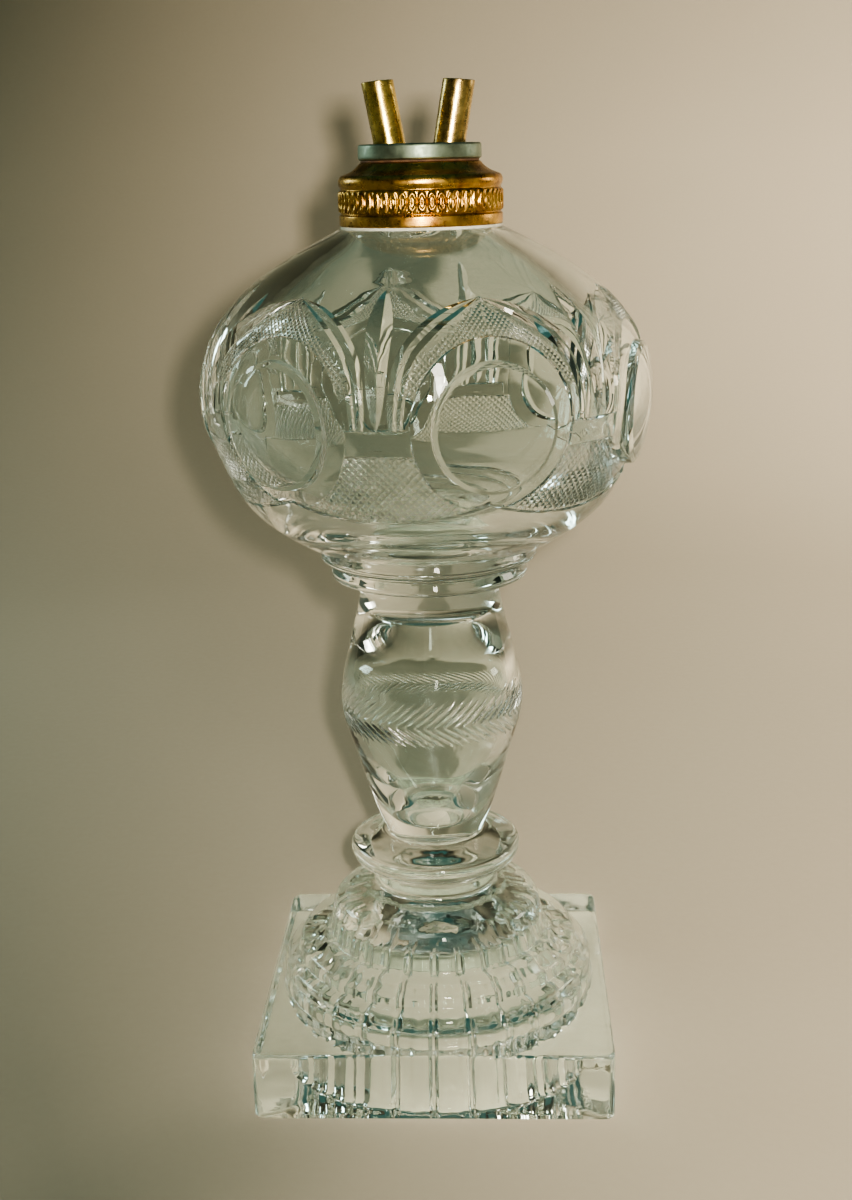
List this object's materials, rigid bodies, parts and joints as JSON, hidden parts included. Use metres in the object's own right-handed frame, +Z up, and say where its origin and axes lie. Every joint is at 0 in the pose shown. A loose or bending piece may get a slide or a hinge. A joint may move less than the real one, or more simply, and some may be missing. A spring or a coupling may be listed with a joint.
{
  "type": "oil lamp",
  "caption": "Clear glass oil lamp: square pressed base, hollow baluster stem, wheel-cut font, brass collar and a screw-in burner with two leaning wick tubes.",
  "frame": {"origin": "centre of the square base on the surface the lamp stands on", "axes": "+Z up the lamp's axis; the two wick tubes lean out along -X and +X; -Y faces the viewer"},
  "size_m": [0.1252, 0.125, 0.2802],
  "materials": {
    "clear_glass": "clear lead glass with a faint grey-green tint, fire-polished base, wheel-cut font",
    "plaster": "matt white plaster cement",
    "collar_brass": "old gilt brass, brown in the hollows",
    "thread_brass": "dull machined brass",
    "washer_leather": "oiled dark leather",
    "pewter": "dull grey-green pewter",
    "solder": "soft solder, satin",
    "tube_brass": "stained olive brass with a bright streak",
    "wick_cotton": "braided cotton"
  },
  "bodies": {
    "root": {"base": "clear_glass", "foot_ring": "clear_glass", "stem": "clear_glass", "lower_wafer": "clear_glass", "upper_wafer": "clear_glass", "font": "clear_glass", "collar_plaster": "plaster", "collar_skirt": "collar_brass", "collar_thread": "thread_brass"},
    "washer": {"burner_washer": "washer_leather"},
    "burner": {"burner_disc": "pewter", "burner_screw": "thread_brass", "burner_solder": "solder", "wick_tube_left": "tube_brass", "wick_tube_right": "tube_brass"},
    "wick_left_body": {"wick_left": "wick_cotton"},
    "wick_right_body": {"wick_right": "wick_cotton"}
  },
  "joints": [
    {"name": "burner_rise", "type": "slide", "parent": "root", "child": "washer", "axis": [0, 0, 1], "range_m": [0, 0.0064]},
    {"name": "burner_turn", "type": "hinge", "parent": "washer", "child": "burner", "pos_m": [0, 0, 0.2597], "axis": [0, 0, 1], "range_deg": [0, 1080]},
    {"name": "wick_left_slide", "type": "slide", "parent": "burner", "child": "wick_left_body", "axis": [-0.1754, 0, 0.9845], "range_m": [-0.003, 0.008]},
    {"name": "wick_right_slide", "type": "slide", "parent": "burner", "child": "wick_right_body", "axis": [0.1754, 0, 0.9845], "range_m": [-0.003, 0.008]}
  ],
  "couplings": [
    {"joint": "burner_rise", "follows": "burner_turn", "m_per_rad": 0.00033423}
  ]
}
